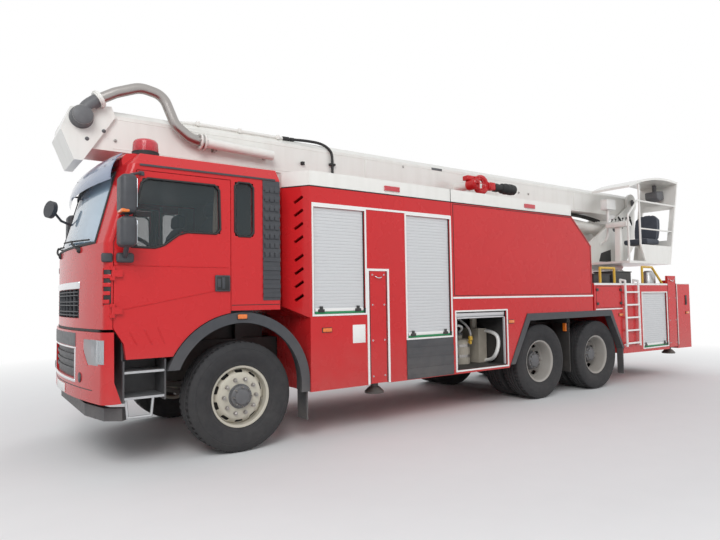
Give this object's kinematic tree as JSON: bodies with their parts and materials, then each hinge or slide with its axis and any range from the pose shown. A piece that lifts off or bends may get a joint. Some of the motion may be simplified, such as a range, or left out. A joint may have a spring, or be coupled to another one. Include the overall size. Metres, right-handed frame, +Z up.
{
  "type": "water tower fire truck",
  "caption": "Cab-over fire truck with locker bodies, a water tank, folding booms with a water pipe on a rear turntable, an operator station, doors, outriggers and jacks.",
  "frame": {"origin": "centre of the bounding box on the ground", "axes": "+X forward, +Y to the vehicle's left, +Z up (ISO 8855)"},
  "size_m": [10.45, 2.96, 3.7445],
  "materials": {
    "red_paint": "glossy red vehicle paint",
    "white_paint": "warm white vehicle paint",
    "frame_black": "satin black chassis paint",
    "dark_plastic": "dark grey textured plastic",
    "interior": "dark grey and beige cab trim",
    "glass": "clear tinted vehicle glass",
    "visor": "smoked blue-grey acrylic",
    "lamp": "clear lamp lens over a bright reflector",
    "red_lens": "red lamp lens",
    "tyre": "black tyre rubber",
    "front_rim": "cream painted steel wheel",
    "rear_rim": "grey-beige painted steel wheel",
    "shutter": "silver-white anodised slats",
    "trim_white": "pale anodised trim",
    "tread": "bare aluminium tread plate",
    "yellow": "yellow rail paint",
    "beige": "beige painted castings",
    "stainless": "brushed stainless pipe",
    "rod_chrome": "hard chromed rod",
    "jack_black": "black painted jack foot and stem"
  },
  "bodies": {
    "chassis": {"chassis_frame": "frame_black", "axles": "frame_black", "drive_train": "frame_black", "cab_shell": "red_paint", "cab_front_panel": "red_paint", "bumper": "red_paint", "headlamps": "lamp", "cab_glass": "glass", "cab_dark_trim": "dark_plastic", "step_treads": "tread", "sun_visor": "visor", "arch_trims": "dark_plastic", "cab_interior": "interior", "warning_lamps": "red_lens", "front_locker_body": "red_paint", "tank_body": "red_paint", "roof_band": "white_paint", "roller_shutters": "shutter", "body_trim": "trim_white", "pump_fittings": "beige", "rear_cabinet": "red_paint", "handrails": "yellow", "boom_subframe": "frame_black"},
    "knuckle_left": {"knuckle_left": "frame_black"},
    "wheel_front_left": {"tyre_front_left": "tyre", "rim_front_left": "front_rim"},
    "wheel_drive_1_left": {"tyres_drive_1_left": "tyre", "rim_drive_1_left": "rear_rim"},
    "wheel_drive_2_left": {"tyres_drive_2_left": "tyre", "rim_drive_2_left": "rear_rim"},
    "door_left": {"door_left": "red_paint", "door_glass_left": "glass", "door_trim_left": "dark_plastic"},
    "knuckle_right": {"knuckle_right": "frame_black"},
    "wheel_front_right": {"tyre_front_right": "tyre", "rim_front_right": "front_rim"},
    "wheel_drive_1_right": {"tyres_drive_1_right": "tyre", "rim_drive_1_right": "rear_rim"},
    "wheel_drive_2_right": {"tyres_drive_2_right": "tyre", "rim_drive_2_right": "rear_rim"},
    "door_right": {"door_right": "red_paint", "door_glass_right": "glass", "door_trim_right": "dark_plastic"},
    "turntable": {"turntable_mast": "white_paint", "station_shell": "white_paint", "station_seat": "dark_plastic"},
    "boom": {"boom": "white_paint", "boom_pipe": "stainless"},
    "lift_barrel": {"lift_barrel": "white_paint"},
    "lift_rod": {"lift_rod": "rod_chrome"},
    "jib": {"jib_arm": "white_paint"},
    "monitor": {"monitor": "red_paint"},
    "outrigger_front_left": {"outrigger_front_left": "red_paint"},
    "jack_front_left": {"jack_front_left": "jack_black"},
    "outrigger_front_right": {"outrigger_front_right": "red_paint"},
    "jack_front_right": {"jack_front_right": "jack_black"},
    "outrigger_rear_left": {"outrigger_rear_left": "red_paint"},
    "jack_rear_left": {"jack_rear_left": "jack_black"},
    "outrigger_rear_right": {"outrigger_rear_right": "red_paint"},
    "jack_rear_right": {"jack_rear_right": "jack_black"}
  },
  "joints": [
    {"name": "steer_left", "type": "hinge", "parent": "chassis", "child": "knuckle_left", "pos_m": [3.735, 0.93, 0.535], "axis": [0, 0, 1], "range_deg": [-35, 35]},
    {"name": "spin_front_left", "type": "hinge", "parent": "knuckle_left", "child": "wheel_front_left", "pos_m": [3.735, 1.035, 0.535], "axis": [0, 1, 0], "continuous": true},
    {"name": "spin_drive_1_left", "type": "hinge", "parent": "chassis", "child": "wheel_drive_1_left", "pos_m": [-0.865, 1.045, 0.535], "axis": [0, 1, 0], "continuous": true},
    {"name": "spin_drive_2_left", "type": "hinge", "parent": "chassis", "child": "wheel_drive_2_left", "pos_m": [-2.265, 1.045, 0.535], "axis": [0, 1, 0], "continuous": true},
    {"name": "door_left_swing", "type": "hinge", "parent": "chassis", "child": "door_left", "pos_m": [4.929, 1.238, 1.5], "axis": [0, 0, -1], "range_deg": [0, 70]},
    {"name": "steer_right", "type": "hinge", "parent": "chassis", "child": "knuckle_right", "pos_m": [3.735, -0.93, 0.535], "axis": [0, 0, 1], "range_deg": [-35, 35]},
    {"name": "spin_front_right", "type": "hinge", "parent": "knuckle_right", "child": "wheel_front_right", "pos_m": [3.735, -1.035, 0.535], "axis": [0, 1, 0], "continuous": true},
    {"name": "spin_drive_1_right", "type": "hinge", "parent": "chassis", "child": "wheel_drive_1_right", "pos_m": [-0.865, -1.045, 0.535], "axis": [0, 1, 0], "continuous": true},
    {"name": "spin_drive_2_right", "type": "hinge", "parent": "chassis", "child": "wheel_drive_2_right", "pos_m": [-2.265, -1.045, 0.535], "axis": [0, 1, 0], "continuous": true},
    {"name": "door_right_swing", "type": "hinge", "parent": "chassis", "child": "door_right", "pos_m": [4.929, -1.238, 1.5], "axis": [0, 0, 1], "range_deg": [0, 70]},
    {"name": "slew", "type": "hinge", "parent": "chassis", "child": "turntable", "pos_m": [-3.865, 0, 1.85], "axis": [0, 0, 1], "continuous": true},
    {"name": "boom_lift", "type": "hinge", "parent": "turntable", "child": "boom", "pos_m": [-5.015, 0, 3.3], "axis": [0, -1, 0], "range_deg": [0, 75]},
    {"name": "lift_barrel_swing", "type": "hinge", "parent": "turntable", "child": "lift_barrel", "pos_m": [-4.365, 0, 2.75], "axis": [0, -1, 0], "range_deg": [0, 78]},
    {"name": "lift_rod_slide", "type": "slide", "parent": "lift_barrel", "child": "lift_rod", "axis": [0.9971, 0, 0.0764], "range_m": [0, 1.04]},
    {"name": "jib_unfold", "type": "hinge", "parent": "boom", "child": "jib", "pos_m": [5.045, -0.43, 3.305], "axis": [0, 1, 0], "range_deg": [0, 170]},
    {"name": "monitor_tilt", "type": "hinge", "parent": "boom", "child": "monitor", "pos_m": [-0.165, 0.6, 3.13], "axis": [0, 1, 0], "range_deg": [0, 80]},
    {"name": "outrigger_front_left_slide", "type": "slide", "parent": "chassis", "child": "outrigger_front_left", "axis": [0, 1, 0], "range_m": [0, 1.1]},
    {"name": "jack_front_left_slide", "type": "slide", "parent": "outrigger_front_left", "child": "jack_front_left", "axis": [0, 0, -1], "range_m": [0, 0.395]},
    {"name": "outrigger_front_right_slide", "type": "slide", "parent": "chassis", "child": "outrigger_front_right", "axis": [0, -1, 0], "range_m": [0, 1.1]},
    {"name": "jack_front_right_slide", "type": "slide", "parent": "outrigger_front_right", "child": "jack_front_right", "axis": [0, 0, -1], "range_m": [0, 0.395]},
    {"name": "outrigger_rear_left_slide", "type": "slide", "parent": "chassis", "child": "outrigger_rear_left", "axis": [0, 1, 0], "range_m": [0, 1.1]},
    {"name": "jack_rear_left_slide", "type": "slide", "parent": "outrigger_rear_left", "child": "jack_rear_left", "axis": [0, 0, -1], "range_m": [0, 0.395]},
    {"name": "outrigger_rear_right_slide", "type": "slide", "parent": "chassis", "child": "outrigger_rear_right", "axis": [0, -1, 0], "range_m": [0, 1.1]},
    {"name": "jack_rear_right_slide", "type": "slide", "parent": "outrigger_rear_right", "child": "jack_rear_right", "axis": [0, 0, -1], "range_m": [0, 0.395]}
  ],
  "couplings": [
    {"joint": "steer_right", "follows": "steer_left", "ratio": 1},
    {"joint": "lift_barrel_swing", "follows": "boom_lift", "ratio": 1.0321},
    {"joint": "lift_rod_slide", "follows": "boom_lift", "m_per_rad": 0.78676}
  ]
}
